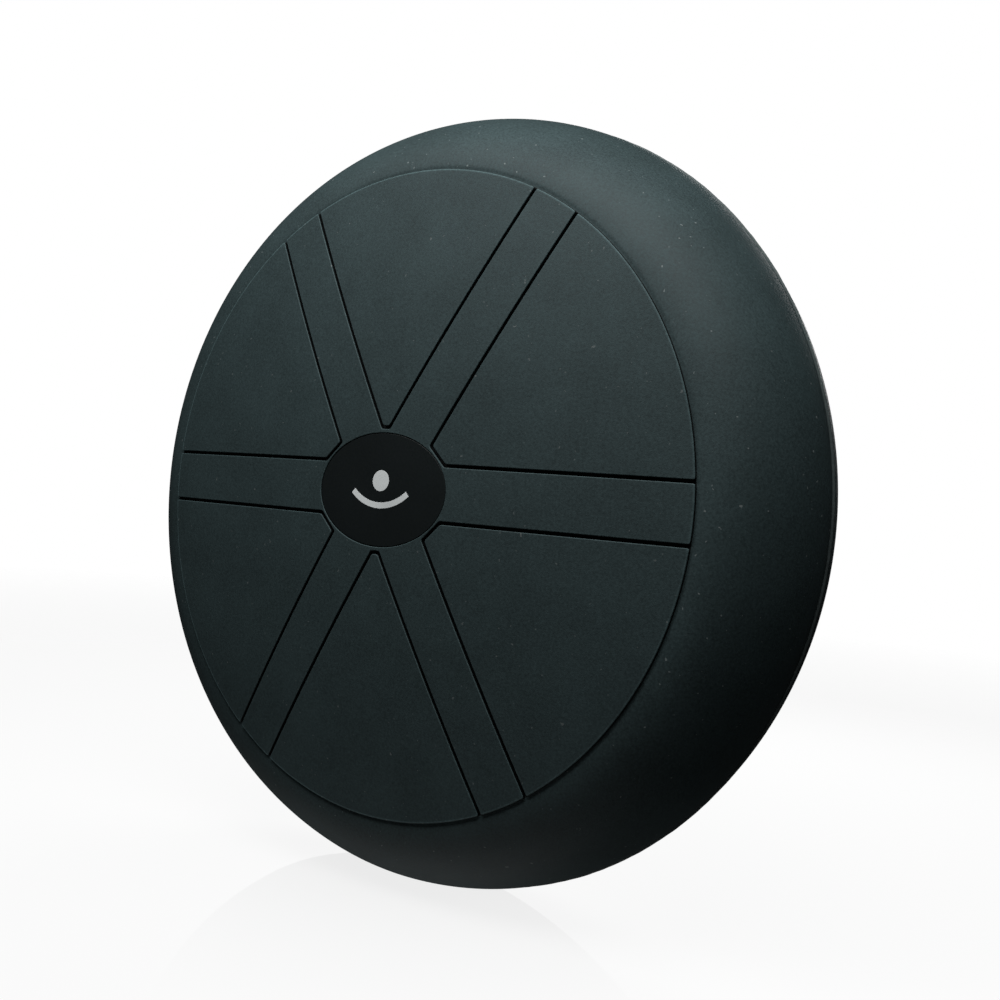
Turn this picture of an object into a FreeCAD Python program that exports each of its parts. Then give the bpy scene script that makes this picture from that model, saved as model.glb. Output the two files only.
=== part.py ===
import FreeCAD, Part
import math
import os

# Wobble cushion: an air-filled PVC disc with a grooved face, a studded face and a rim valve.
# It stands on its rim. The disc's axis runs along Y, the grooved face looks along -Y, Z is up.
# The origin is the middle of the small flat that its weight presses into the rim.
# All lengths are in millimetres.

V = FreeCAD.Vector

# overall shape
OUTER_R = 165.0          # radius at the rim's widest line
FLOOR_FLAT = 2.0         # how far the rim is pressed flat where it stands
PLATE_R = 131.4          # radius of the face inside the rounded shoulder
PLATE_Y = 43.5           # half thickness at the edge of the face
CROWN = 8.4              # how far the middle of a face bulges past its edge
SHOULDER_POWER = 1.76    # roundness of the side: 2 is an ellipse, lower is fuller in the slope
SKIN = 2.5               # wall thickness of the moulded skin
RIM_SKIN = 4.5           # thicker skin where the two mouldings are welded together
CENTRE_Z = OUTER_R - FLOOR_FLAT

# the skin's zones, by distance from the middle plane
RIM_HALF = 12.5          # the rim band ends and the flexing side wall starts
WALL_END = 32.0          # the side wall ends and the shoulder starts
SHOULDER_END = 37.5      # the shoulder ends and the flexing ring round the face starts
SEAM_HALF = 0.6          # half width of the weld bead
SEAM_HEIGHT = 0.45       # how far the weld bead stands out
SEAM_STEP = 2.0          # the bead is turned in short arcs, of about this many degrees each
SEAM_STOP = 0.2          # degrees left free between the bead's ends and the floor

# raised pads of the grooved face
PAD_HEIGHT = 0.9
PAD_ROUND = 0.45
BAR_HALF = 11.0          # from a bar's middle line to the middle of the groove beside it
GROOVE = 1.4
BADGE_X = 32.1           # half width of the oval badge
BADGE_Z = 22.7           # half height of the oval badge
BADGE_GAP = 0.8
BADGE_HEIGHT = 1.0
MARK_HEIGHT = 0.15
BALL_R = 4.2             # the badge's mark: a ball over a rocking curve
BALL_UP = 3.6            # the ball's height above the middle
ROCKER_R = 22.0
ROCKER_WIDTH = 2.4
ROCKER_DOWN = 7.5        # lowest point of the curve below the middle
ROCKER_HALF = 42.0       # half the angle that the curve spans
CHAMFER_TURN = 45.0      # direction in which a side sector's cut corner faces
CHAMFER_REACH = 29.4     # distance of that cut corner from the middle
TIP_BLUNT = 24.4         # height at which the top and bottom sectors' tips are cut off

# massage studs
STUD_FIELD_R = 127.0     # radius of the outermost ring of studs
FIRST_RING_STEP = 0.074  # steps between rings, as parts of the field radius
RING_STEP = 0.0685
RING_COUNT = 9
RING_SPACING = 0.0755    # distance between neighbours on a ring
STAR_POINTS = 4
STAR_TURN = 92.0         # direction of the first point of the star
STAR_TIP = 0.86
STAR_CORNER = 0.42       # where two points of the star meet
STAR_TIP_HALF = 40.0     # half the angle between the sides of a point at its tip
STAR_STEPS = 7           # studs from a tip to a corner, less one
STAR_CLEAR = 0.073       # least distance between two large studs
RING_CLEAR = 0.071       # least distance from a small stud to a large one
SMALL_R = 2.7
SMALL_HEIGHT = 1.8
LARGE_R = 3.5
LARGE_HEIGHT = 2.3

# valve in the rim, on the -X side; distances along it are from the disc's axis
HOLE_R = 7.2             # hole through the rim band
BARREL_R = 7.0
BORE_R = 4.4
BARREL_IN = 147.0        # inner end of the barrel
COLLAR_R = 10.5
COLLAR_OUT = 166.2       # outer face of the collar
COLLAR_ROUND = 0.5
FLANGE_R = 11.5
FLANGE_OUT = 157.9       # outer face of the flange inside the rim
FLANGE_THICK = 1.6
SEAM_ROOM = 0.5          # gap between the weld bead and the collar
PLUG_R = 4.05
PLUG_LENGTH = 15.0
CAP_R = 7.6
CAP_THICK = 1.8
CAP_ROUND = 0.6
CAP_GAP = 0.3            # gap between the cap and the collar
TAB_REACH = 12.6         # from the plug's middle to the end of its pull tab
TAB_WIDTH = 5.0
TAB_THICK = 1.2
TAB_LIFT = 0.3           # gap between the tab's underside and the cap's
FLAP_R = 5.2
FLAP_THICK = 0.8
FLAP_GAP = 0.5           # gap between the flap and the barrel's end
HINGE_UP = 5.6           # height of the flap's hinge above the bore's middle
HINGE_R = 0.45           # the flap's round hinge bead
LUG_BORE_R = 0.75
LUG_R = 1.15             # a lug's round end
LUG_IN = 2.2             # a lug's faces, from the valve's middle plane
LUG_OUT = 3.4
LUG_CLEAR = 0.3          # gap between the flap and a lug

AXIS = V(0, 1, 0)
VALVE_AXIS = V(-1, 0, 0)
MIDDLE = V(0, 0, CENTRE_Z)
CURVE_STEPS = 12         # points along each ring's curve, less one
CROWN_R = (PLATE_R ** 2 + CROWN ** 2) / (2 * CROWN)
CROWN_BACK = CROWN_R - PLATE_Y - CROWN   # how far the crown's centre lies past the middle plane


def save(shape, name):
    """Write one node."""
    if shape.isNull() or not shape.isValid():
        raise RuntimeError("bad shape: " + name)
    shape.exportStep("parts/" + name + ".step")


def side_angle(y):
    """Parameter of the side's curve at a distance y from the middle plane."""
    return math.acos((y / PLATE_Y) ** (SHOULDER_POWER / 2))


def side_point(t):
    """Radius and distance from the middle plane, from the face's edge to the rim."""
    power = 2 / SHOULDER_POWER
    r = PLATE_R + (OUTER_R - PLATE_R) * math.sin(t) ** power
    y = PLATE_Y * abs(math.cos(t)) ** power
    return r, y


def side_normal(t):
    """Outward direction of the side's curve. It points straight out at the face's edge."""
    if t < 0.0001:
        return 0.0, 1.0
    step = 0.002
    low = max(t - step, 0.0)
    high = min(t + step, math.pi / 2)
    r0, y0 = side_point(low)
    r1, y1 = side_point(high)
    size = math.hypot(r1 - r0, y1 - y0)
    return -(y1 - y0) / size, (r1 - r0) / size


def side_curve(y_from, y_to, depth):
    """Points along the side, set in by depth. y_from and y_to may be on both sides of zero."""
    points = []
    for i in range(CURVE_STEPS + 1):
        y_here = y_from + (y_to - y_from) * i / CURVE_STEPS
        sign = 1 if y_here >= 0 else -1
        if abs(y_here) < 0.000001:
            points.append(V(OUTER_R - depth, 0, CENTRE_Z))
            continue
        t = side_angle(abs(y_here))
        r, y = side_point(t)
        out_r, out_y = side_normal(t)
        points.append(V(r - depth * out_r, sign * (y - depth * out_y), CENTRE_Z))
    return points


def spline(points):
    curve = Part.BSplineCurve()
    curve.interpolate(points)
    return curve.toShape()


def revolve_wire(edges):
    face = Part.Face(Part.Wire(edges))
    return face.revolve(MIDDLE, AXIS, 360)


def skin_ring(y_from, y_to, depth):
    """A ring of the side's skin between two distances from the middle plane."""
    outer = side_curve(y_from, y_to, 0)
    inner = side_curve(y_from, y_to, depth)
    edges = [
        spline(outer),
        Part.makeLine(outer[-1], inner[-1]),
        spline(inner),
        Part.makeLine(inner[0], outer[0]),
    ]
    return revolve_wire(edges)


def to_side(shape, side):
    """Shapes are built for the back (+Y); side -1 turns them to the front (-Y)."""
    if side > 0:
        return shape
    return shape.mirror(V(0, 0, 0), AXIS)


def crown_arc(height):
    """Half of a face's crowned line, raised by height, from the axis to the face's edge."""
    r = CROWN_R + height
    edge_y = math.sqrt(r ** 2 - PLATE_R ** 2) - CROWN_BACK
    mid_r = PLATE_R / 2
    mid_y = math.sqrt(r ** 2 - mid_r ** 2) - CROWN_BACK
    top = V(0, r - CROWN_BACK, CENTRE_Z)
    mid = V(mid_r, mid_y, CENTRE_Z)
    edge = V(PLATE_R, edge_y, CENTRE_Z)
    return Part.Arc(top, mid, edge).toShape(), top, edge


def crown_layer(low, high):
    """The crowned layer between two heights above the face's skin."""
    low_arc, low_top, low_edge = crown_arc(low)
    high_arc, high_top, high_edge = crown_arc(high)
    edges = [
        low_arc,
        Part.makeLine(low_edge, high_edge),
        high_arc,
        Part.makeLine(high_top, low_top),
    ]
    return revolve_wire(edges)


def prism(points):
    """A tall prism along Y over a flat outline given as (x, height above the middle)."""
    corners = [V(x, 0, CENTRE_Z + z) for x, z in points]
    wire = Part.makePolygon(corners + [corners[0]])
    return Part.Face(wire).extrude(V(0, 2 * PLATE_Y, 0))


def oval_prism(half_x, half_z):
    ellipse = Part.Ellipse(V(half_x, 0, CENTRE_Z), V(0, 0, CENTRE_Z + half_z), MIDDLE)
    return Part.Face(Part.Wire(ellipse.toShape())).extrude(V(0, 2 * PLATE_Y, 0))


def round_top(shape, height, size):
    """Round the upper outline of a pad that ends at this height above the skin."""
    limit = CROWN_R + height
    centre = V(0, -CROWN_BACK, CENTRE_Z)
    chosen = []
    for edge in shape.Edges:
        first = edge.valueAt(edge.FirstParameter)
        last = edge.valueAt(edge.LastParameter)
        ends = [first.sub(centre).Length, last.sub(centre).Length]
        if min(ends) > limit - 0.01:
            chosen.append(edge)
    rounded = shape.makeFillet(size, chosen)
    if not rounded.isValid():
        raise RuntimeError("a pad could not be rounded")
    return rounded.Solids[0]


def line_crossing(n1, d1, n2, d2):
    """Crossing of two lines, each given by its unit normal and distance from the middle."""
    det = n1[0] * n2[1] - n1[1] * n2[0]
    x = (d1 * n2[1] - d2 * n1[1]) / det
    z = (n1[0] * d2 - n2[0] * d1) / det
    return x, z


def unit(degrees):
    a = math.radians(degrees)
    return math.cos(a), math.sin(a)


def sector_outline(index):
    """Outline of the raised sector between bars index and index + 1, seen from the back."""
    start = 60.0 * index
    low_normal = unit(start + 90)
    high_normal = unit(start + 60 - 90)
    offset = BAR_HALF + GROOVE / 2
    middle = start + 30
    if index in (1, 4):
        cut_normal = unit(middle)
        cut = TIP_BLUNT
    else:
        across = 1 if math.cos(math.radians(middle)) > 0 else -1
        up = 1 if math.sin(math.radians(middle)) > 0 else -1
        c, s = unit(CHAMFER_TURN)
        cut_normal = (across * c, up * s)
        cut = CHAMFER_REACH
    reach = 2 * PLATE_R
    far_low = unit(start)
    far_high = unit(start + 60)
    low_corner = line_crossing(low_normal, offset, cut_normal, cut)
    high_corner = line_crossing(high_normal, offset, cut_normal, cut)
    far1 = (low_corner[0] + reach * far_low[0], low_corner[1] + reach * far_low[1])
    far2 = (high_corner[0] + reach * far_high[0], high_corner[1] + reach * far_high[1])
    return [low_corner, far1, far2, high_corner]


def bar_outline(index):
    """Outline of the half bar that runs out in direction 60 * index."""
    along = unit(60.0 * index)
    across = unit(60.0 * index + 90)
    half = BAR_HALF - GROOVE / 2
    reach = 2 * PLATE_R
    return [
        (-half * across[0], -half * across[1]),
        (reach * along[0] - half * across[0], reach * along[1] - half * across[1]),
        (reach * along[0] + half * across[0], reach * along[1] + half * across[1]),
        (half * across[0], half * across[1]),
    ]


def make_front_pads(layer):
    """Six raised sectors and six raised half bars round the badge."""
    badge_room = oval_prism(BADGE_X + BADGE_GAP, BADGE_Z + BADGE_GAP)
    for index in range(6):
        pad = layer.common(prism(sector_outline(index))).Solids[0]
        pad = round_top(pad, PAD_HEIGHT, PAD_ROUND)
        save(to_side(pad, -1), "front_sector_%d" % (index + 1))
        bar = layer.common(prism(bar_outline(index))).cut(badge_room)
        bar = max(bar.Solids, key=lambda s: s.Volume)
        bar = round_top(bar, PAD_HEIGHT, PAD_ROUND)
        save(to_side(bar, -1), "front_bar_%d" % (index + 1))


def make_badge():
    """The smooth oval badge, and a plain mark of a ball over a rocking curve."""
    plate = crown_layer(0, BADGE_HEIGHT).common(oval_prism(BADGE_X, BADGE_Z)).Solids[0]
    plate = round_top(plate, BADGE_HEIGHT, PAD_ROUND)
    save(to_side(plate, -1), "badge_plate")
    layer = crown_layer(BADGE_HEIGHT, BADGE_HEIGHT + MARK_HEIGHT)
    long = 2 * PLATE_Y
    ball = Part.makeCylinder(BALL_R, long, V(0, 0, CENTRE_Z + BALL_UP), AXIS)
    bend_up = ROCKER_R - ROCKER_DOWN
    bend_middle = V(0, 0, CENTRE_Z + bend_up)
    ring = Part.makeCylinder(ROCKER_R, long, bend_middle, AXIS)
    ring = ring.cut(Part.makeCylinder(ROCKER_R - ROCKER_WIDTH, long, bend_middle, AXIS))
    spread = 2 * ROCKER_R * math.tan(math.radians(ROCKER_HALF))
    floor = bend_up - 2 * ROCKER_R
    rocker = ring.common(prism([(0, bend_up), (-spread, floor), (spread, floor)]))
    pieces = layer.common(ball).Solids + layer.common(rocker).Solids
    save(to_side(Part.makeCompound(pieces), -1), "badge_mark")


def star_points():
    """Large studs: curved rows that run side by side from the sides of each star point."""
    half_turn = math.pi / STAR_POINTS
    corner = (STAR_CORNER * math.cos(half_turn), STAR_CORNER * math.sin(half_turn))
    back = STAR_TIP - corner[0]
    chord = math.hypot(back, corner[1])
    chord_turn = math.atan2(corner[1], back)
    bend = 2 * (math.radians(STAR_TIP_HALF) - chord_turn)
    arc_r = chord / (2 * math.sin(bend / 2))
    row = []
    for i in range(STAR_STEPS + 1):
        part = bend * i / STAR_STEPS
        length = 2 * arc_r * math.sin(part / 2)
        turn = math.radians(STAR_TIP_HALF) - part / 2
        row.append((-length * math.cos(turn), length * math.sin(turn)))
    rows = []
    for i in range(STAR_STEPS + 1):
        for j in range(STAR_STEPS + 1):
            x = STAR_TIP + row[i][0] + row[j][0]
            z = row[i][1] - row[j][1]
            if x > 0.02 and abs(math.atan2(z, x)) <= half_turn + 0.001:
                rows.append((min(i, j), abs(i - j), x, z))
    rows.sort()
    kept = []
    for _, _, x, z in rows:
        for k in range(STAR_POINTS):
            turn = math.radians(STAR_TURN) + 2 * half_turn * k
            px = x * math.cos(turn) - z * math.sin(turn)
            pz = x * math.sin(turn) + z * math.cos(turn)
            if all(math.hypot(px - a, pz - b) > STAR_CLEAR for a, b in kept):
                kept.append((px, pz))
    return kept


def ring_points(large):
    """Small studs: rings outside the star, left out where a large stud is near."""
    kept = []
    radius = 1.0
    for ring in range(RING_COUNT):
        count = round(2 * math.pi * radius / RING_SPACING)
        for m in range(count):
            turn = 2 * math.pi * (m + 0.5 * (ring % 2)) / count
            px = radius * math.cos(turn)
            pz = radius * math.sin(turn)
            if all(math.hypot(px - a, pz - b) > RING_CLEAR for a, b in large):
                kept.append((px, pz))
        radius -= FIRST_RING_STEP if ring == 0 else RING_STEP
    return kept


def stud(base_r, height):
    """A low dome with its flat base at the origin, pointing along +Y."""
    ball_r = (base_r ** 2 + height ** 2) / (2 * height)
    ball = Part.makeSphere(ball_r, V(0, height - ball_r, 0), AXIS)
    box = Part.makeBox(4 * ball_r, 2 * ball_r, 4 * ball_r, V(-2 * ball_r, 0, -2 * ball_r))
    return ball.common(box).Solids[0]


def place_studs(places, base_r, height, name):
    """Stand one stud on the back face at each place, square to the crowned skin."""
    model = stud(base_r, height)
    centre = V(0, -CROWN_BACK, CENTRE_Z)
    studs = []
    for px, pz in places:
        x = px * STUD_FIELD_R
        z = pz * STUD_FIELD_R
        y = math.sqrt(CROWN_R ** 2 - x ** 2 - z ** 2) - CROWN_BACK
        foot = V(x, y, CENTRE_Z + z)
        turn = FreeCAD.Rotation(AXIS, foot.sub(centre))
        one = model.copy()
        one.Placement = FreeCAD.Placement(foot, turn)
        studs.append(one)
    save(Part.makeCompound(studs), name)


def make_face(side):
    return to_side(crown_layer(-SKIN, 0), side)


def filled_rim():
    """Everything inside the rim band's outer surface."""
    outer = side_curve(-RIM_HALF, RIM_HALF, 0)
    start = V(0, -RIM_HALF, CENTRE_Z)
    end = V(0, RIM_HALF, CENTRE_Z)
    edges = [
        spline(outer),
        Part.makeLine(outer[-1], end),
        Part.makeLine(end, start),
        Part.makeLine(start, outer[0]),
    ]
    return revolve_wire(edges)


def floor_block():
    size = 4 * OUTER_R
    return Part.makeBox(size, size, size, V(-size / 2, -size / 2, -size))


def valve_cylinder(radius, start, end):
    """A cylinder on the valve's axis, between two distances from the disc's axis."""
    return Part.makeCylinder(radius, end - start, V(-start, 0, CENTRE_Z), VALVE_AXIS)


def make_rim():
    """The rim band with the flat it stands on and the hole for the valve."""
    band = skin_ring(-RIM_HALF, RIM_HALF, RIM_SKIN).cut(floor_block())
    save(band.cut(valve_cylinder(HOLE_R, 0, 2 * OUTER_R)).Solids[0], "rim_band")


def seam_section():
    """Cross-section of the weld bead: a low ridge with bevelled sides."""
    outline = [
        (0, -SEAM_HALF),
        (SEAM_HEIGHT * 0.7, -SEAM_HALF * 0.75),
        (SEAM_HEIGHT, -SEAM_HALF * 0.3),
        (SEAM_HEIGHT, SEAM_HALF * 0.3),
        (SEAM_HEIGHT * 0.7, SEAM_HALF * 0.75),
        (0, SEAM_HALF),
    ]
    corners = [V(OUTER_R + out, y, CENTRE_Z) for out, y in outline]
    return Part.Face(Part.makePolygon(corners + [corners[0]]))


def seam_arc(start, end):
    """The bead between two directions, in degrees about +Y from +X."""
    count = math.ceil((end - start) / SEAM_STEP)
    step = (end - start) / count
    pieces = []
    for i in range(count):
        section = seam_section()
        section.rotate(MIDDLE, AXIS, start + i * step)
        pieces.append(section.revolve(MIDDLE, AXIS, step))
    return pieces[0].multiFuse(pieces[1:]).Solids[0]


def make_seam():
    """The weld bead round the rim, in two arcs: it stops at the flat and at the valve."""
    floor = 90.0
    valve = 180.0
    floor_stop = math.degrees(math.acos(CENTRE_Z / (OUTER_R + SEAM_HEIGHT))) + SEAM_STOP
    valve_stop = math.degrees(math.asin((COLLAR_R + SEAM_ROOM) / OUTER_R))
    short = seam_arc(floor + floor_stop, valve - valve_stop)
    long = seam_arc(valve + valve_stop, 360 + floor - floor_stop)
    save(Part.makeCompound([short, long]), "weld_seam")


def hinge_rod(radius, y_from, y_to):
    """A rod along the flap's hinge line."""
    start = V(-(BARREL_IN - FLAP_GAP - FLAP_THICK / 2), y_from, CENTRE_Z + HINGE_UP)
    return Part.makeCylinder(radius, y_to - y_from, start, AXIS)


def lug(side, grow):
    """One hinge lug, a foot with a round end, made larger all round by grow."""
    low = LUG_IN if side > 0 else -LUG_OUT
    width = LUG_OUT - LUG_IN
    end = hinge_rod(LUG_R + grow, low - grow, low + width + grow)
    corner = V(-BARREL_IN - grow, low - grow, CENTRE_Z + HINGE_UP - LUG_R - grow)
    depth = FLAP_GAP + FLAP_THICK / 2 + grow
    foot = Part.makeBox(depth, width + 2 * grow, 2 * (LUG_R + grow), corner)
    return end.fuse(foot)


def make_valve():
    """Valve body: collar outside the rim, barrel through it, flange and hinge lugs inside."""
    collar = valve_cylinder(COLLAR_R, FLANGE_OUT, COLLAR_OUT)
    rims = [edge for edge in collar.Edges if len(edge.Vertexes) == 1]
    outer_rims = [edge for edge in rims if edge.CenterOfMass.x < -COLLAR_OUT + 0.01]
    collar = collar.makeFillet(COLLAR_ROUND, outer_rims)
    outside = collar.cut(filled_rim())
    barrel = valve_cylinder(BARREL_R, BARREL_IN, COLLAR_OUT)
    flange = valve_cylinder(FLANGE_R, FLANGE_OUT - FLANGE_THICK, FLANGE_OUT)
    valve = barrel.fuse([outside, flange])
    valve = valve.cut(valve_cylinder(BORE_R, 0, 2 * OUTER_R))
    for side in (-1, 1):
        bored = lug(side, 0).cut(hinge_rod(LUG_BORE_R, -FLAP_R, FLAP_R))
        valve = valve.fuse(bored)
    valve = valve.removeSplitter()
    save(valve.Solids[0], "valve_body")


def make_flap():
    """The non-return flap over the barrel's inner end, with the bead it hinges on."""
    start = BARREL_IN - FLAP_GAP - FLAP_THICK
    disc = valve_cylinder(FLAP_R, start, start + FLAP_THICK)
    half = LUG_IN - LUG_CLEAR
    corner = V(-start - FLAP_THICK, -half, CENTRE_Z)
    flap = disc.fuse(Part.makeBox(FLAP_THICK, 2 * half, HINGE_UP, corner))
    for side in (-1, 1):
        flap = flap.cut(lug(side, LUG_CLEAR))
    flap = flap.fuse(hinge_rod(HINGE_R, -LUG_OUT, LUG_OUT)).removeSplitter()
    save(flap.Solids[0], "valve_flap")


def make_plug():
    """The plug: a stem in the bore, a cap over the collar and a tab to pull it by."""
    cap_start = COLLAR_OUT + CAP_GAP
    stem = valve_cylinder(PLUG_R, cap_start - PLUG_LENGTH, cap_start)
    cap = valve_cylinder(CAP_R, cap_start, cap_start + CAP_THICK)
    rims = [edge for edge in cap.Edges if len(edge.Vertexes) == 1]
    cap = cap.makeFillet(CAP_ROUND, rims)
    corner = V(-cap_start - TAB_LIFT - TAB_THICK, -TAB_WIDTH / 2, CENTRE_Z)
    tab = Part.makeBox(TAB_THICK, TAB_WIDTH, TAB_REACH, corner)
    plug = stem.fuse([cap, tab]).removeSplitter()
    save(plug.Solids[0], "valve_plug")


def main():
    os.makedirs("parts", exist_ok=True)
    make_rim()
    make_seam()
    for side, name in ((-1, "front"), (1, "back")):
        save(to_side(skin_ring(RIM_HALF, WALL_END, SKIN), side), name + "_wall")
        save(to_side(skin_ring(WALL_END, SHOULDER_END, SKIN), side), name + "_shoulder")
        save(to_side(skin_ring(SHOULDER_END, PLATE_Y, SKIN), side), name + "_flex")
        save(make_face(side), name + "_face")
    make_front_pads(crown_layer(0, PAD_HEIGHT))
    make_badge()
    large = star_points()
    place_studs(large, LARGE_R, LARGE_HEIGHT, "back_star_studs")
    place_studs(ring_points(large), SMALL_R, SMALL_HEIGHT, "back_ring_studs")
    make_valve()
    make_flap()
    make_plug()


main()
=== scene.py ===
import math

import bpy
import numpy as np
from mathutils import Matrix, Vector
from mathutils.geometry import delaunay_2d_cdt


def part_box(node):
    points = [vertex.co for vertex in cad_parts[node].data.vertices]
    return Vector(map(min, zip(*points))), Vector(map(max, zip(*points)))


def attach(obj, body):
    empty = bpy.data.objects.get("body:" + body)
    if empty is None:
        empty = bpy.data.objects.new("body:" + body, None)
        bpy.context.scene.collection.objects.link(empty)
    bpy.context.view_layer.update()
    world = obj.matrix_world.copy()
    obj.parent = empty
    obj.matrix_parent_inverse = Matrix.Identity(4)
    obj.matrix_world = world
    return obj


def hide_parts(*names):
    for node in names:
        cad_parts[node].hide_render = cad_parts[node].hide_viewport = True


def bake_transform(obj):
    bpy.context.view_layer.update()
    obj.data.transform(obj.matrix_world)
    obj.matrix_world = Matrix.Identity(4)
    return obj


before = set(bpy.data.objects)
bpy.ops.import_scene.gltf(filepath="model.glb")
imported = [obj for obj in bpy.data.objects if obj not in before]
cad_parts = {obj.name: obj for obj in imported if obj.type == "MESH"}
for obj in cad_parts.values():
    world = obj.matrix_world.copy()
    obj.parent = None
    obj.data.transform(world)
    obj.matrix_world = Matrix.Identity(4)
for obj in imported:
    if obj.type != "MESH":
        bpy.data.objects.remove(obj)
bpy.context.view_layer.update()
bpy.context.scene.view_settings.view_transform = "Standard"

MM = 0.001

# ---------------------------------------------------------------- sizes read from the CAD
face_low, face_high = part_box("front_face")
rim_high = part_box("rim_band")[1]
PLATE_R = (face_high.x - face_low.x) / 2  # radius of a face, inside the rounded shoulder
CENTRE_Z = (face_high.z + face_low.z) / 2  # height of the disc's axis
OUTER_R = rim_high.x  # radius at the rim's widest line

# where the skin's zones end, as distances from the middle plane
RIM_HALF = rim_high.y
WALL_END = -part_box("front_wall")[0].y
SHOULDER_END = -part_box("front_shoulder")[0].y
PLATE_Y = -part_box("front_flex")[0].y

CROWN = -face_low.y - PLATE_Y  # how far a face's middle bulges past its edge
CROWN_R = (PLATE_R**2 + CROWN**2) / (2 * CROWN)
CROWN_BACK = CROWN_R - PLATE_Y - CROWN  # how far the crown's centre lies past the middle plane
EDGE_SLOPE = PLATE_R / math.sqrt(CROWN_R**2 - PLATE_R**2)  # the crown's slope at the face's edge

# ---------------------------------------------------------------- sizes of the skin
SHOULDER_POWER = 1.76  # roundness of the side: 2 is an ellipse, lower is fuller in the slope
SKIN = 2.5 * MM
RIM_SKIN = 4.5 * MM
AROUND = 320  # points round the disc
RIM_ROWS = 73  # rows of points across the rim band
WELD_DRAW = 0.4 * MM  # how far the skin draws in at the weld, and over what half width
WELD_DRAW_HALF = 2.2 * MM
PAD_SINK = 1.0 * MM  # how far the skin lies lower under the raised pads
SINK_START = 0.3 * MM  # it sinks between these distances inside the face's edge
SINK_END = 0.9 * MM
COARSE_END = 129.5 * MM  # radii between which its rows of points come closer together
FINE_START = 129.8 * MM
EDGE_DIP = 0.35 * MM  # a valley just outside the front face: its depth and half width
EDGE_DIP_HALF = 1.1 * MM
EDGE_BLEND = 3 * MM  # over this distance the side runs into the crown's slope
HOLE_R = 8.6 * MM  # the hole that is left for the valve

# where the skin is pressed onto the floor
FOOT_SOFT = 0.45 * MM  # how gently it turns onto the floor
FOOT_TOP = 12 * MM  # how high the press reaches
FOOT_CLEAR = 0.02 * MM  # its least height
BULGE = 0.035  # how much wider the foot gets, and how far that reaches along and up
BULGE_ALONG = 34 * MM
BULGE_UP = 16 * MM


def crown_y(r2):
    """Height of a face's crowned skin over the middle plane, for a squared radius."""
    return np.sqrt(CROWN_R**2 - r2) - CROWN_BACK


# ---------------------------------------------------------------- mesh helpers
def make_mesh(name, points, faces, corner_normals=None):
    """A smooth-shaded object. corner_normals holds one normal for each corner of each face."""
    mesh = bpy.data.meshes.new(name)
    mesh.from_pydata(np.asarray(points).tolist(), [], faces)
    mesh.polygons.foreach_set("use_smooth", [True] * len(mesh.polygons))
    mesh.update()
    if corner_normals is not None:
        mesh.normals_split_custom_set(np.asarray(corner_normals).tolist())
    obj = bpy.data.objects.new(name, mesh)
    bpy.context.scene.collection.objects.link(obj)
    return obj


def flat_normal(points, face):
    a, b, c = points[face[0]], points[face[1]], points[face[2]]
    n = np.cross(b - a, c - a)
    size = np.linalg.norm(n)
    return n / size if size > 0 else np.array([0.0, 1.0, 0.0])


def settle(p):
    """Press points of the soft skin onto the floor: they stop at it and bulge sideways."""
    p = p.copy()
    z = p[:, 2]
    pressed = FOOT_SOFT * np.logaddexp(0, np.minimum(z, FOOT_TOP) / FOOT_SOFT)
    p[:, 2] = np.where(z > FOOT_TOP, z, pressed)
    near = np.exp(-((p[:, 0] / BULGE_ALONG) ** 2)) * np.exp(-((np.maximum(z, 0) / BULGE_UP) ** 2))
    p[:, 1] *= 1 + BULGE * near
    p[:, 2] = np.maximum(p[:, 2], FOOT_CLEAR)
    return p


def revolve(profile):
    """Points of a profile given as (radius, y), turned about the disc's axis."""
    turn = np.linspace(0, 2 * math.pi, AROUND, endpoint=False)
    r = profile[:, 0][:, None]
    y = np.repeat(profile[:, 1][:, None], AROUND, axis=1)
    x = r * np.cos(turn)[None, :]
    z = r * np.sin(turn)[None, :] + CENTRE_Z
    return np.stack([x, y, z], axis=2).reshape(-1, 3)


# ---------------------------------------------------------------- the skin, turned about the axis
def side_outline(y):
    """Radius of the skin's outer surface at a distance y from the middle plane."""
    t = np.arccos((np.abs(y) / PLATE_Y) ** (SHOULDER_POWER / 2))
    return PLATE_R + (OUTER_R - PLATE_R) * np.sin(t) ** (2 / SHOULDER_POWER)


def rim_profile():
    """(radius, y) across the rim band, closer together at the weld, where the skin draws in."""
    u = np.linspace(-1, 1, RIM_ROWS)
    y = RIM_HALF * (0.4 * u + 0.6 * u**3)
    drawn_in = WELD_DRAW * np.exp(-((y / WELD_DRAW_HALF) ** 2))
    return np.stack([side_outline(y) - drawn_in, y], axis=1)


def side_profile(y_from, y_to, count, dip=0.0):
    """(radius, y) down the side. It runs into the crowned face without a kink, or with a
    shallow valley dip deep just outside the face."""
    ends = [math.acos((y / PLATE_Y) ** (SHOULDER_POWER / 2)) for y in (y_from, y_to)]
    t = np.linspace(ends[0], ends[1], count)
    out = (OUTER_R - PLATE_R) * np.sin(t) ** (2 / SHOULDER_POWER)
    y = PLATE_Y * np.cos(t) ** (2 / SHOULDER_POWER)
    valley = dip * np.exp(-((out / EDGE_DIP_HALF) ** 2))
    y = y - EDGE_SLOPE * out * np.exp(-out / EDGE_BLEND) - valley
    return np.stack([PLATE_R + out, y], axis=1)


def crown_profile(sink, dip):
    """(radius, y) over a face. Under the raised pads the skin is sunk, so the grooves are deep,
    and at the face's edge it comes up to the valley outside."""
    r = np.concatenate([np.linspace(0, COARSE_END, 40), np.linspace(FINE_START, PLATE_R, 14)])
    share = np.clip((PLATE_R - SINK_START - r) / (SINK_END - SINK_START), 0, 1)
    smooth = share * share * (3 - 2 * share)
    return np.stack([r, crown_y(r**2) - dip - (sink - dip) * smooth], axis=1)


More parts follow.
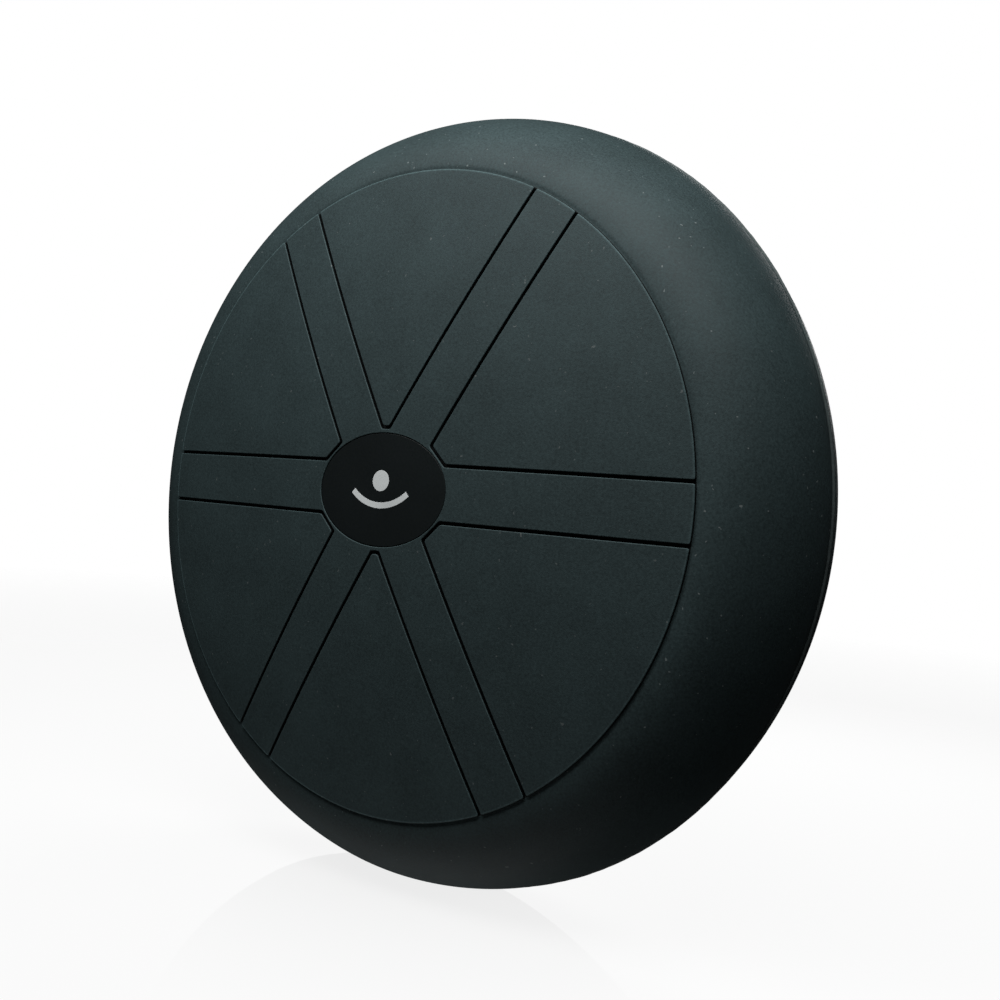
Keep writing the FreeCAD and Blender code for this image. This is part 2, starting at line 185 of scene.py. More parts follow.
def skin_normals(profile, flat):
    """Normals of the settled outer surface, from small steps along it in two directions."""
    step = 0.02 * MM
    tiny = 1e-13
    d = np.gradient(profile, axis=0)
    d = d / np.maximum(np.linalg.norm(d, axis=1), tiny)[:, None]
    ahead = settle(revolve(profile + d * step)) - settle(revolve(profile - d * step))
    turn = np.linspace(0, 2 * math.pi, AROUND, endpoint=False)
    tangent = np.stack([-np.sin(turn), np.zeros(AROUND), np.cos(turn)], axis=1)
    tangent = np.tile(tangent, (len(profile), 1))
    raw = revolve(profile)
    along = settle(raw + tangent * step) - settle(raw - tangent * step)
    normal = np.cross(along, ahead)
    size = np.linalg.norm(normal, axis=1)
    radial = np.stack([np.cos(turn), np.zeros(AROUND), np.sin(turn)], axis=1)
    plain = flat[:, 0, None, None] * radial[None] + flat[:, 1, None, None] * np.array([0, 1.0, 0])
    plain = plain.reshape(-1, 3)
    normal = np.where(size[:, None] < tiny, plain, normal / np.maximum(size, tiny)[:, None])
    sign = np.sign((normal * plain).sum(axis=1))
    return normal * np.where(sign == 0, 1, sign)[:, None]


def profile_directions(profile, side):
    """Directions square to a profile, pointing out of the cushion."""
    d = np.gradient(profile, axis=0)
    flat = np.stack([-d[:, 1], d[:, 0]], axis=1)
    flat /= np.linalg.norm(flat, axis=1)[:, None]
    if (flat @ np.array([0.4, float(side)])).sum() < 0:
        flat = -flat
    if profile[0, 0] == 0:
        flat[0] = (0.0, side)
    return flat


def turned_cells(profile):
    """Faces of a turned profile, as point numbers. At the middle of a face they are triangles."""
    cells = []
    for i in range(len(profile) - 1):
        for j in range(AROUND):
            a, b = i * AROUND + j, i * AROUND + (j + 1) % AROUND
            if profile[i, 0] == 0:
                cells.append((0, b + AROUND, a + AROUND))
            else:
                cells.append((a, b, b + AROUND, a + AROUND))
    return cells


def open_edges(cells):
    """Edges that only one face has, in that face's direction of travel."""
    ways = {(f[n], f[(n + 1) % len(f)]) for f in cells for n in range(len(f))}
    return [w for w in sorted(ways) if (w[1], w[0]) not in ways]


def shell(name, profile, thickness, side, hole=None):
    """A closed ring or disc of skin: the turned profile, the same profile set in by the skin's
    thickness, and strips that join their edges. The profile is given for the back."""
    profile = profile * (1, side)
    flat = profile_directions(profile, side)
    inner_profile = profile - flat * thickness
    inner_profile[:, 0] = np.maximum(inner_profile[:, 0], 0)
    outer, inner = settle(revolve(profile)), settle(revolve(inner_profile))
    normal = skin_normals(profile, flat)
    cells = turned_cells(profile)
    if hole is not None:
        cells = [f for f in cells if not hole(outer[list(f)].mean(axis=0))]
    sample = cells[len(cells) // 3]
    if flat_normal(outer, sample) @ normal[sample[0]] < 0:
        cells = [f[::-1] for f in cells]
    used = sorted({v for f in cells for v in f})
    place = np.full(len(outer), -1)
    place[used] = np.arange(len(used))
    n = len(used)
    points = np.concatenate([outer[used], inner[used]])
    direction = normal[used]
    faces, corners = [], []
    for f in cells:
        g = [int(place[v]) for v in f]
        faces.append(tuple(g))
        corners += [direction[v] for v in g]
    for f in cells:
        g = [int(place[v]) for v in f[::-1]]
        faces.append(tuple(v + n for v in g))
        corners += [-direction[v] for v in g]
    for edge in open_edges(cells):
        a, b = (int(place[v]) for v in edge)
        face = (b, a, a + n, b + n)
        faces.append(face)
        corners += [flat_normal(points, face)] * 4
    return make_mesh(name, points, faces, corners)


valve_low, valve_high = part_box("valve_body")
VALVE_Z = (valve_low.z + valve_high.z) / 2


def in_valve_hole(p):
    return p[0] < 0 and math.hypot(p[1], p[2] - VALVE_Z) < HOLE_R


skin = []
rim = shell("skin_rim", rim_profile(), RIM_SKIN, 1, in_valve_hole)
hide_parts("rim_band")
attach(rim, "rim")
skin.append(rim)
for side, word in ((-1, "front"), (1, "back")):
    ring = word + "_rim_ring"
    face_body = word + "_face"
    wall = shell("skin_" + word + "_wall", side_profile(RIM_HALF, WALL_END, 26), SKIN, side)
    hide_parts(word + "_wall")
    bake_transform(wall)
    shoulder = shell("skin_" + word + "_shoulder", side_profile(WALL_END, SHOULDER_END, 9), SKIN, side)
    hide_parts(word + "_shoulder")
    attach(shoulder, ring)
    sink, dip = (PAD_SINK, EDGE_DIP) if side < 0 else (0.0, 0.0)
    flex = shell("skin_" + word + "_ring", side_profile(SHOULDER_END, PLATE_Y, 34, dip), SKIN, side)
    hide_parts(word + "_flex")
    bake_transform(flex)
    face = shell("skin_" + word + "_face", crown_profile(sink, dip), SKIN, side)
    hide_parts(word + "_face")
    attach(face, face_body)
    skin += [wall, shoulder, flex, face]


# ---------------------------------------------------------------- the weld bead
SEAM_HALF = 0.62 * MM
SEAM_HEIGHT = 0.45 * MM
SEAM_ROOT = 0.9 * MM  # how deep the bead goes into the skin
SEAM_BEND = 0.35 * MM  # where its sides start to round over, below the skin's widest line
SEAM_LOW = 0.2 * MM  # where its rounded part ends
SEAM_STEP = math.radians(0.6)
SEAM_TAPER = math.radians(2.2)  # its ends run out over this angle
SEAM_SWAY = 0.10 * MM
FLOOR_GAP = math.radians(0.3)
VALVE_ROOM = 11.2 * MM  # from the valve's middle to the bead's end
floor_stop = math.acos(CENTRE_Z / (OUTER_R + SEAM_HEIGHT)) + FLOOR_GAP
valve_stop = math.asin(VALVE_ROOM / OUTER_R)


def uneven(turn, waves, seed):
    """A smooth wobble round the rim, between about -1 and 1."""
    random = np.random.default_rng(seed)
    phase = random.uniform(0, 2 * math.pi, len(waves))
    return sum(np.sin(w * turn + p) for w, p in zip(waves, phase)) / len(waves)


def bead(start, end):
    """Points and faces of one arc of the bead. Directions are measured from +X towards +Z."""
    count = int((end - start) / SEAM_STEP)
    turn = np.linspace(start, end, count)
    taper = np.clip(np.minimum(turn - start, end - turn) / SEAM_TAPER, 0, 1) ** 0.5
    high = SEAM_HEIGHT * (1 + 0.22 * uneven(turn, (23, 41, 67, 113, 171), 3)) * taper
    wide = SEAM_HALF * (1 + 0.14 * uneven(turn, (19, 37, 83, 149), 4)) * (0.4 + 0.6 * taper)
    shift = SEAM_SWAY * uneven(turn, (7, 13, 29), 5)
    points = []
    for k in range(count):
        ring = [(-wide[k], -SEAM_ROOT), (-wide[k], -SEAM_BEND)]
        for a in np.radians(np.linspace(-75, 75, 9)):
            out = (high[k] + SEAM_LOW) * math.cos(a) ** 0.8 - SEAM_LOW
            ring.append((wide[k] * math.sin(a), out))
        ring += [(wide[k], -SEAM_BEND), (wide[k], -SEAM_ROOT)]
        for y, out in ring:
            r = OUTER_R + out
            points.append((r * math.cos(turn[k]), y + shift[k], CENTRE_Z + r * math.sin(turn[k])))
    m = len(ring)
    faces = []
    for k in range(count - 1):
        for s in range(m):
            t = (s + 1) % m
            faces.append((k * m + s, k * m + t, (k + 1) * m + t, (k + 1) * m + s))
    faces.append(tuple(range(m))[::-1])
    faces.append(tuple((count - 1) * m + s for s in range(m)))
    return points, faces


down = -math.pi / 2
arcs = [
    bead(down + floor_stop, math.pi - valve_stop),
    bead(math.pi + valve_stop, 2 * math.pi + down - floor_stop),
]
points, faces = list(arcs[0][0]), list(arcs[0][1])
faces += [tuple(v + len(points) for v in f) for f in arcs[1][1]]
points += arcs[1][0]
weld = make_mesh("weld_line", points, faces)
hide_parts("weld_seam")
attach(weld, "rim")


# ---------------------------------------------------------------- raised pads of the grooved face
BAR_HALF = 11.0 * MM  # from a bar's middle line to the middle of the groove beside it
GROOVE = 1.4 * MM
badge_low, badge_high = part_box("badge_plate")
BADGE_X = (badge_high.x - badge_low.x) / 2
BADGE_Z = (badge_high.z - badge_low.z) / 2
BADGE_GAP = 0.25 * MM
PAD = 0.9 * MM  # how far a pad stands above the face's skin
EDGE = 0.32 * MM  # its rounded edge
PILLOW = 0.12 * MM  # how much fuller its middle is
PAD_DEPTH = 1.3 * MM  # how far it goes below the face's skin line
REACH = PLATE_R - 0.15 * MM  # radius at which the pads end
TIP_CUT = 25.8 * MM  # where the tips of the top and bottom sectors are cut off
CORNER_CUT = 30.2 * MM  # where the corners of the side sectors are cut off
CORNER_TURN = 45
STEP = 0.7 * MM  # distance between points of an outline
GRID = 3.0 * MM  # distance between points on a pad's top
GRID_CLEAR = 0.6 * MM  # and how far they stay from its edge
PILLOW_RISE = 2.2 * MM
EDGE_RINGS = 5
ONLY_INSIDE = 1  # the triangulation's mode that drops what lies outside the outlines


def unit(degrees):
    a = math.radians(degrees)
    return np.array([math.cos(a), math.sin(a)])


def crossing(n1, d1, n2, d2):
    """Crossing of two lines, each given by its normal and its distance from the middle."""
    return np.linalg.solve(np.array([n1, n2]), np.array([d1, d2]))


def on_circle(normal, distance, toward):
    """Where a line meets the edge of the face, on the side that toward points to."""
    along = np.array([-normal[1], normal[0]])
    if along @ toward < 0:
        along = -along
    return normal * distance + along * math.sqrt(REACH**2 - distance**2)


def arc(start, end):
    """Points along the face's edge between two points on it, the short way."""
    a = math.atan2(start[1], start[0])
    b = math.atan2(end[1], end[0])
    b = a + (b - a + math.pi) % (2 * math.pi) - math.pi
    n = max(2, int(abs(b - a) * REACH / STEP))
    return [REACH * np.array([math.cos(v), math.sin(v)]) for v in np.linspace(a, b, n)]


def straight(start, end):
    n = max(2, int(np.linalg.norm(end - start) / STEP) + 1)
    return [start + (end - start) * v for v in np.linspace(0, 1, n)]


def join(parts):
    return np.array([p for part in parts for p in part[:-1]])


def wedge(index, inset):
    """Corners of the area between two bars: near the badge, and out at the face's edge.
    inset widens it on all inner sides: 0 gives the raised sector, the groove's width the bars."""
    start = 60.0 * index
    low_normal, high_normal = unit(start + 90), unit(start - 30)
    offset = BAR_HALF + GROOVE / 2 - inset
    middle = unit(start + 30)
    if index in (1, 4):
        cut_normal, cut = middle, TIP_CUT - inset
    else:
        cut_normal, cut = np.sign(middle) * unit(CORNER_TURN), CORNER_CUT - inset
    low = crossing(low_normal, offset, cut_normal, cut)
    high = crossing(high_normal, offset, cut_normal, cut)
    far_low = on_circle(low_normal, offset, unit(start))
    far_high = on_circle(high_normal, offset, unit(start + 60))
    return low, far_low, far_high, high


def sector_outline(index):
    """Outline of the raised sector between bars index and index + 1."""
    low, far_low, far_high, high = wedge(index, 0)
    out, back = straight(low, far_low), straight(far_high, high)
    return join([out, arc(far_low, far_high), back, straight(high, low)])


def bars_outline():
    """Outline of the six joined bars, going round once."""
    parts = []
    for index in range(6):
        low, far_low, far_high, high = wedge(index, GROOVE)
        parts += [straight(far_low, low), straight(low, high), straight(high, far_high)]
        parts.append(arc(far_high, wedge((index + 1) % 6, GROOVE)[1]))
    return join(parts)


def oval_outline(half_x, half_z, count):
    v = np.linspace(0, 2 * math.pi, count, endpoint=False)
    return np.stack([half_x * np.cos(v), half_z * np.sin(v)], axis=1)


def soften(outline, times):
    """Round the corners of an outline of evenly spaced points."""
    for _ in range(times):
        outline = (np.roll(outline, 1, axis=0) + 2 * outline + np.roll(outline, -1, axis=0)) / 4
    return outline


def turned(outline, anticlockwise):
    following = np.roll(outline, -1, axis=0)
    area = (outline[:, 0] * following[:, 1] - outline[:, 1] * following[:, 0]).sum()
    return outline if (area > 0) == anticlockwise else outline[::-1]


def inward_of(outline):
    """Unit directions to the left of an outline's travel, where the material is."""
    ahead = np.roll(outline, -1, axis=0) - np.roll(outline, 1, axis=0)
    inward = np.stack([-ahead[:, 1], ahead[:, 0]], axis=1)
    return inward / np.linalg.norm(inward, axis=1)[:, None]


def loop_distance(points, loops):
    """Distance from each point to the nearest of some closed outlines."""
    best = np.full(len(points), 9.0)
    for outline in loops:
        for p, q in zip(outline, np.roll(outline, -1, axis=0)):
            d = q - p
            t = np.clip(((points - p) @ d) / max(d @ d, 1e-15), 0, 1)
            best = np.minimum(best, np.linalg.norm(points - p - t[:, None] * d, axis=1))
    return best


def inside(points, loops):
    """True for the points inside an odd number of the outlines."""
    count = np.zeros(len(points), int)
    for outline in loops:
        for p, q in zip(outline, np.roll(outline, -1, axis=0)):
            spans = (p[1] > points[:, 1]) != (q[1] > points[:, 1])
            rise = q[1] - p[1] if q[1] != p[1] else 1e-12
            x = p[0] + (points[:, 1] - p[1]) / rise * (q[0] - p[0])
            count += spans & (points[:, 0] < x)
    return count % 2 == 1


def triangulate(loops, extra):
    """Triangles over the area between outlines, through some extra points inside it.
    They all run anticlockwise."""
    flat = np.concatenate(loops + [extra])
    edges, start = [], 0
    for outline in loops:
        n = len(outline)
        edges += [(start + k, start + (k + 1) % n) for k in range(n)]
        start += n
    scale = 1 / MM
    result = delaunay_2d_cdt([Vector(p * scale) for p in flat], edges, [], ONLY_INSIDE, 1e-6)
    source = [s[0] for s in result[3]]
    triangles = np.array([[source[v] for v in f] for f in result[2]])
    in_hole = inside(flat[triangles].mean(axis=1), loops[1:])
    return [tuple(int(v) for v in t) for t in triangles[~in_hole]]


def inner_points(loops):
    """Evenly spaced points between outlines, and how far each is from them."""
    low, high = loops[0].min(axis=0), loops[0].max(axis=0)
    x, z = np.meshgrid(np.arange(low[0], high[0], GRID), np.arange(low[1], high[1], GRID))
    x = x + (np.arange(x.shape[0]) % 2)[:, None] * GRID / 2
    found = np.stack([x.ravel(), z.ravel()], axis=1)
    found = found[inside(found, loops)]
    far = loop_distance(found, loops)
    clear = far > GRID_CLEAR
    return found[clear], far[clear]


def edge_rings(height, edge, depth):
    """The rings of points up a pad's side: how far each is set in, its height, and how far its
    normal leans from sideways to straight up."""
    rings = [(0.0, -depth, 0.0), (0.0, height - edge, 0.0)]
    for k in range(1, EDGE_RINGS + 1):
        a = math.pi / 2 * k / EDGE_RINGS
        rings.append((edge * (1 - math.cos(a)), height - edge + edge * math.sin(a), a))
    return rings


def pad_mesh(name, loops, height, edge, pillow, depth, base=0.0):
    """A raised pad on the front face with rounded edges. The first outline is its outside and
    the others are holes. It starts depth below its foot, which is base above the face's skin
    line, and its top follows the crown."""
    loops = [turned(o, k == 0) for k, o in enumerate(loops)]
    inward = [inward_of(o) for o in loops]
    levels = edge_rings(height, edge, depth)
    count = sum(len(o) for o in loops)
    flat, lift, lean, out = [], [], [], []
    for inset, h, a in levels:
        for o, i in zip(loops, inward):
            flat.append(o + i * inset)
            lift.append(np.full(len(o), base + h))
            lean.append(np.full(len(o), a))
            out.append(-i)
    top_loops = [o + i * edge for o, i in zip(loops, inward)]
    inner, far = inner_points(top_loops)
    flat.append(inner)
    lift.append(base + height + pillow * (1 - np.exp(-far / PILLOW_RISE)))
    lean.append(np.full(len(inner), math.pi / 2))
    out.append(np.zeros((len(inner), 2)))
    flat, lift = np.concatenate(flat), np.concatenate(lift)
    lean, out = np.concatenate(lean)[:, None], np.concatenate(out)
    y = -(crown_y((flat**2).sum(axis=1)) + lift)
    points = np.stack([flat[:, 0], y, flat[:, 1] + CENTRE_Z], axis=1)
    up = np.stack([flat[:, 0], -(crown_y((flat**2).sum(axis=1)) + CROWN_BACK), flat[:, 1]], axis=1)
    up /= np.linalg.norm(up, axis=1)[:, None]
    aside = np.stack([out[:, 0], np.zeros(len(out)), out[:, 1]], axis=1)
    normal = np.cos(lean) * aside + np.sin(lean) * up
    faces = []
    for level in range(len(levels) - 1):
        start = level * count
        for o in loops:
            n = len(o)
            for k in range(n):
                a, b = start + k, start + (k + 1) % n
                faces.append((a, a + count, b + count, b))
            start += n
    last = (len(levels) - 1) * count
    if flat_normal(points, faces[0]) @ normal[faces[0][0]] < 0:
        faces = [f[::-1] for f in faces]
    for t in triangulate(top_loops, inner):
        faces.append(tuple(v + last for v in t))
    corners = [normal[v] for f in faces for v in f]
    for t in triangulate(loops, np.zeros((0, 2))):
        faces.append(t[::-1])
        corners += [np.array([0.0, 1.0, 0.0])] * 3
    return make_mesh(name, points, faces, corners)


pads = []
for index in range(6):
    outline = soften(sector_outline(index), 1)
    pad = pad_mesh("panel_sector_%d" % (index + 1), [outline], PAD, EDGE, PILLOW, PAD_DEPTH)
    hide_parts("front_sector_%d" % (index + 1))
    pads.append(pad)
hole = oval_outline(BADGE_X + BADGE_GAP, BADGE_Z + BADGE_GAP, 220)
bars = pad_mesh("panel_bars", [soften(bars_outline(), 1), hole], PAD, EDGE, PILLOW, PAD_DEPTH)
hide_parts(*["front_bar_%d" % (index + 1) for index in range(6)])
pads.append(bars)
for pad in pads:
    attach(pad, "front_face")


# ---------------------------------------------------------------- the badge and its printed mark
BADGE_TOP = 0.62 * MM
BADGE_EDGE = 0.3 * MM
BADGE_PILLOW = 0.06 * MM
BADGE_DEPTH = 1.0 * MM
badge_line = oval_outline(BADGE_X, BADGE_Z, 220)
badge = pad_mesh("badge_oval", [badge_line], BADGE_TOP, BADGE_EDGE, BADGE_PILLOW, BADGE_DEPTH)
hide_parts("badge_plate")
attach(badge, "front_face")

# the mark is a ball over a rocking curve, as thin raised ink
PRINT = 0.07 * MM
PRINT_EDGE = 0.03 * MM
PRINT_DEPTH = 0.3 * MM
BALL_R = 4.2 * MM
ROCKER_WIDTH = 2.4 * MM
ROCKER_R = 22.0 * MM
ROCKER_HALF = 42  # half the angle that the curve spans
mark_low, mark_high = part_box("badge_mark")
ball_up = mark_high.z - CENTRE_Z - BALL_R
rocker_up = mark_low.z - CENTRE_Z + ROCKER_R
swing = np.radians(np.linspace(-ROCKER_HALF, ROCKER_HALF, 60))
outer_line = np.stack([ROCKER_R * np.sin(swing), rocker_up - ROCKER_R * np.cos(swing)], axis=1)
inner_r = ROCKER_R - ROCKER_WIDTH
inner_line = np.stack([inner_r * np.sin(swing), rocker_up - inner_r * np.cos(swing)], axis=1)
ball_line = oval_outline(BALL_R, BALL_R, 72) + np.array([0, ball_up])
rocker_line = np.concatenate([outer_line, inner_line[::-1]])
ink_base = BADGE_TOP + BADGE_PILLOW
ink = []
for name, line in (("ball", ball_line), ("curve", rocker_line)):
    piece = pad_mesh("mark_" + name, [line], PRINT, PRINT_EDGE, 0, PRINT_DEPTH, ink_base)
    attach(piece, "front_face")
    ink.append(piece)
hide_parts("badge_mark")


# ---------------------------------------------------------------- studs of the massage face
STAR_HEIGHT = 2.3 * MM
RING_HEIGHT = 1.8 * MM
STUD_AROUND = 18  # points round a stud
FILLET = 0.45 * MM
STUD_ROOT = 0.4 * MM  # how deep a stud goes into the skin


def stud_places(node):
    """Middle and largest radius of each stud, found from the CAD studs themselves."""
    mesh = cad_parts[node].data
    co = np.zeros(len(mesh.vertices) * 3)
    mesh.vertices.foreach_get("co", co)
    co = co.reshape(-1, 3)
    keys = np.round(co / (0.01 * MM)).astype(np.int64)
    _, first, same = np.unique(keys, axis=0, return_index=True, return_inverse=True)
    same = same.ravel()
    parent = list(range(len(first)))

    def root(i):
        while parent[i] != i:
            parent[i] = parent[parent[i]]
            i = parent[i]
        return i

    for e in mesh.edges:
        a, b = root(same[e.vertices[0]]), root(same[e.vertices[1]])
        if a != b:
            parent[a] = b
    groups = {}
    for i in range(len(first)):
        groups.setdefault(root(i), []).append(first[i])
    found = []
    for members in groups.values():
        p = co[members]
        found.append(((p.min(axis=0) + p.max(axis=0)) / 2, np.ptp(p[:, 0]) / 2))
    return found


def stud_profile(base_r, height):
    """(radius, height) of a stud: a dome that runs into the skin with a small fillet."""
    ball_r = (base_r**2 + height**2) / (2 * height)
    rows = [(0.0, height)]
    for a in np.linspace(0, 1, 9)[1:]:
        r = base_r * math.sin(a * math.pi / 2) * 0.97
        rows.append((r, height - ball_r + math.sqrt(ball_r**2 - r**2)))
    r_end, h_end = rows[-1]
    for a in (0.3, 0.62, 1.0):
        rows.append((r_end + FILLET * a, h_end * (1 - a) ** 2))
    rows.append((r_end + FILLET, -STUD_ROOT))
    return rows


def stud_field(name, node, height):
    """All studs of one size as one piece, each a closed dome standing square to the crown."""
    places = stud_places(node)
    rows = stud_profile(places[0][1], height)
    points, faces = [], []
    centre = np.array([0.0, -CROWN_BACK, CENTRE_Z])
    for middle, _ in places:
        out = np.array([middle[0], 0.0, middle[2]]) - centre
        out[1] = math.sqrt(CROWN_R**2 - out[0] ** 2 - out[2] ** 2)
        out /= np.linalg.norm(out)
        foot = centre + out * CROWN_R
        u = np.cross(out, np.array([0.0, 0.0, 1.0]))
        u /= np.linalg.norm(u)
        w = np.cross(u, out)
        start = len(points)
        points.append(foot + out * rows[0][1])
        for r, h in rows[1:]:
            for k in range(STUD_AROUND):
                a = 2 * math.pi * k / STUD_AROUND
                points.append(foot + out * h + (u * math.cos(a) + w * math.sin(a)) * r)
        for k in range(STUD_AROUND):
            faces.append((start, start + 1 + (k + 1) % STUD_AROUND, start + 1 + k))
        for ring in range(len(rows) - 2):
            a = start + 1 + ring * STUD_AROUND
            b = a + STUD_AROUND
            for k in range(STUD_AROUND):
                n = (k + 1) % STUD_AROUND
                faces.append((a + k, a + n, b + n, b + k))
        last = start + 1 + (len(rows) - 2) * STUD_AROUND
        faces.append(tuple(last + k for k in range(STUD_AROUND)))
    return make_mesh(name, points, faces)


studs = []
for name, node, height in (
    ("studs_star", "back_star_studs", STAR_HEIGHT),
    ("studs_rings", "back_ring_studs", RING_HEIGHT),
):
    field = stud_field(name, node, height)
    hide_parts(node)
    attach(field, "back_face")
    studs.append(field)


# ---------------------------------------------------------------- the valve's plug
# Sizes along the valve are distances from the disc's middle, measured outwards.
SHARP_ANGLE = math.radians(38)
PLUG_AROUND = 72
TAB_HALF = 2.5 * MM
TAB_ROOT = 5.0 * MM
TAB_TIP = 12.5 * MM
TAB_INNER = 166.8 * MM
TAB_OUTER = 168.0 * MM
TAB_EDGE = 0.3 * MM
RIDGE = 0.32 * MM  # half width of a grip ridge
RIDGE_HALF = 1.6 * MM
RIDGE_PLACES = (8.7 * MM, 9.9 * MM, 11.1 * MM)
RIDGE_RISE = 0.25 * MM
RIDGE_EDGE = 0.12 * MM


def sharpened(obj):
    obj.data.set_sharp_from_angle(angle=SHARP_ANGLE)
    return obj


def lathe(name, profile, around):
    """A solid turned about the valve's axis from (radius, distance outwards) in millimetres."""
    points, faces = [], []
    for r, out in profile[1:-1]:
        for k in range(around):
            a = 2 * math.pi * k / around
            points.append((-out * MM, r * MM * math.cos(a), VALVE_Z + r * MM * math.sin(a)))
    for i in range(len(profile) - 3):
        for k in range(around):
            a, b = i * around + k, i * around + (k + 1) % around
            faces.append((a, a + around, b + around, b))
    first, last = len(points), len(points) + 1
    points.append((-profile[0][1] * MM, 0, VALVE_Z))
    points.append((-profile[-1][1] * MM, 0, VALVE_Z))
    end = (len(profile) - 3) * around
    for k in range(around):
        n = (k + 1) % around
        faces.append((first, k, n))
        faces.append((last, end + n, end + k))
    return sharpened(make_mesh(name, points, faces))


def quarter(middle_r, middle_out, across, along, first):
    """A quarter of an ellipse in a turned profile, from the direction first, in degrees."""
    turns = [math.radians(first + a) for a in (0, 30, 60, 90)]
    return [(middle_r + across * math.cos(t), middle_out + along * math.sin(t)) for t in turns]


def plug_profile():
    """Rounded tip, stem with one sealing bead, and a cap with a ring and a thumb dimple."""
    tip = [(0, 151.5), (2.6, 151.5), (3.2, 151.7), (3.6, 152.3), (4.0, 153.6), (4.05, 154.2)]
    seal = [(4.05, 156.0), (4.2, 156.3), (4.3, 156.7), (4.3, 157.3), (4.2, 157.7), (4.05, 158.0)]
    underside = [(4.05, 166.5)] + quarter(7.0, 167.1, 0.6, 0.6, -90)
    edge = quarter(7.0, 167.6, 0.6, 0.7, 0)
    ring = [(6.3, 168.3), (6.1, 168.22), (5.95, 168.0), (5.6, 167.92), (5.25, 168.0), (5.1, 168.22)]
    dimple = [(4.9, 168.3), (3.6, 168.3), (3.2, 168.2), (2.2, 167.9), (1.1, 167.75), (0, 167.7)]
    return tip + seal + underside + edge + ring + dimple


def add_plate(points, faces, outline, inner, outer, edge):
    """A plate across the valve's axis with rounded edges, from an outline of (y, z)."""
    outline = turned(outline, True)
    inward = inward_of(outline)
    n = len(outline)
    start = len(points)
    levels = []
    for a in (0, 30, 60, 90):
        lean = math.radians(a)
        levels.append((edge * (1 - math.sin(lean)), inner + edge * (1 - math.cos(lean))))
    levels += [(inset, inner + outer - out) for inset, out in levels[::-1]]
    for inset, out in levels:
        for y, z in outline + inward * inset:
            points.append((-out, y, VALVE_Z + z))
    for i in range(len(levels) - 1):
        for k in range(n):
            a, b = start + i * n + k, start + i * n + (k + 1) % n
            faces.append((a, a + n, b + n, b))
    faces.append(tuple(start + k for k in range(n)))
    faces.append(tuple(start + (len(levels) - 1) * n + k for k in range(n))[::-1])


def bar_across(height, half_length, radius):
    """Outline of a grip ridge: a bar with round ends."""
    ends = []
    for middle, first in ((half_length - radius, -90), (radius - half_length, 90)):
        for a in range(first, first + 181, 30):
            swing = math.radians(a)
            ends.append((middle + radius * math.cos(swing), height + radius * math.sin(swing)))
    return np.array(ends)


def pull_tab():
    """A flat tab with a round tip, and the grip ridges across it."""
    swing = np.radians(np.arange(0, 181, 12))
    tip = np.stack([TAB_HALF * np.cos(swing), TAB_TIP - TAB_HALF + TAB_HALF * np.sin(swing)], axis=1)
    foot = np.array([[-TAB_HALF, TAB_ROOT], [TAB_HALF, TAB_ROOT]])
    points, faces = [], []
    add_plate(points, faces, np.concatenate([tip, foot]), TAB_INNER, TAB_OUTER, TAB_EDGE)
    for height in RIDGE_PLACES:
        outline = bar_across(height, RIDGE_HALF, RIDGE)
        add_plate(points, faces, outline, TAB_OUTER - TAB_EDGE, TAB_OUTER + RIDGE_RISE, RIDGE_EDGE)
    return sharpened(make_mesh("plug_pull_tab", points, faces))


plug = lathe("plug_stem_and_cap", plug_profile(), PLUG_AROUND)
tab = pull_tab()
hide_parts("valve_plug")
for piece in (plug, tab):
    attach(piece, "plug")


# ---------------------------------------------------------------- materials
# noise scales, in waves per metre
CLOUD_SCALE = 38.0
GRAIN_SCALE = 1050.0
FINE_GRAIN_SCALE = 2600.0
SPECK_SCALE = 620.0
CLOUD_DEPTH = 0.18  # how much the clouds darken and brighten the vinyl
DUST = (0.20, 0.23, 0.23)
DUST_COVER = 0.7
GRAIN_HEIGHT = 0.2 * MM
SHADE_LOW = 0.2 * MM  # heights over the crown between which the pads get their painted shade and highlight
SHADE_HIGH = 1.2 * MM
PAD_PAINTED_SHADE_AND_HIGHLIGHT = ((0.10, 0.03), (0.40, 0.40), (0.54, 1.0), (0.64, 1.0), (0.71, 0.62))  # height, tone: painted shade down the walls, a painted highlight on the round edge, then the top
EDGE_PAINTED_HIGHLIGHT = (1.2, 0.25)  # how much paler the face's outer edge is painted, at -X and at +X: a painted highlight, strongest toward -X
EDGE_HIGHLIGHT_START = 0.75 * MM  # the width of the painted edge highlight, with and without its soft inner side
EDGE_HIGHLIGHT_END = 0.5 * MM


def new_material(name, color, roughness, specular):
    m = bpy.data.materials.new(name)
    m.use_nodes = True
    b = m.node_tree.nodes["Principled BSDF"]
    b.inputs["Base Color"].default_value = (*color, 1)
    b.inputs["Roughness"].default_value = roughness
    b.inputs["Specular IOR Level"].default_value = specular
    return m, m.node_tree, b


def feed(tree, socket, value):
    """Link a socket to another one, or set it to a plain value."""
    if isinstance(value, bpy.types.NodeSocket):
        tree.links.new(value, socket)
    elif isinstance(value, tuple):
        socket.default_value = (*value, 1)
    else:
        socket.default_value = value


def calculate(tree, operation, *values):
    n = tree.nodes.new("ShaderNodeMath")
    n.operation = operation
    for socket, value in zip(n.inputs, values):
        feed(tree, socket, value)
    return n.outputs["Value"]


def vector_math(tree, operation, source, *vectors):
    """The node that works on the source and on up to two plain vectors."""
    n = tree.nodes.new("ShaderNodeVectorMath")
    n.operation = operation
    tree.links.new(source, n.inputs[0])
    for socket, vector in zip(n.inputs[1:], vectors):
        socket.default_value = vector
    return n


def object_place(tree):
    return tree.nodes.new("ShaderNodeTexCoord").outputs["Object"]


def noise(tree, scale, detail, rough, coordinates):
    n = tree.nodes.new("ShaderNodeTexNoise")
    n.inputs["Scale"].default_value = scale
    n.inputs["Detail"].default_value = detail
    n.inputs["Roughness"].default_value = rough
    tree.links.new(coordinates, n.inputs["Vector"])
    return n.outputs["Fac"]


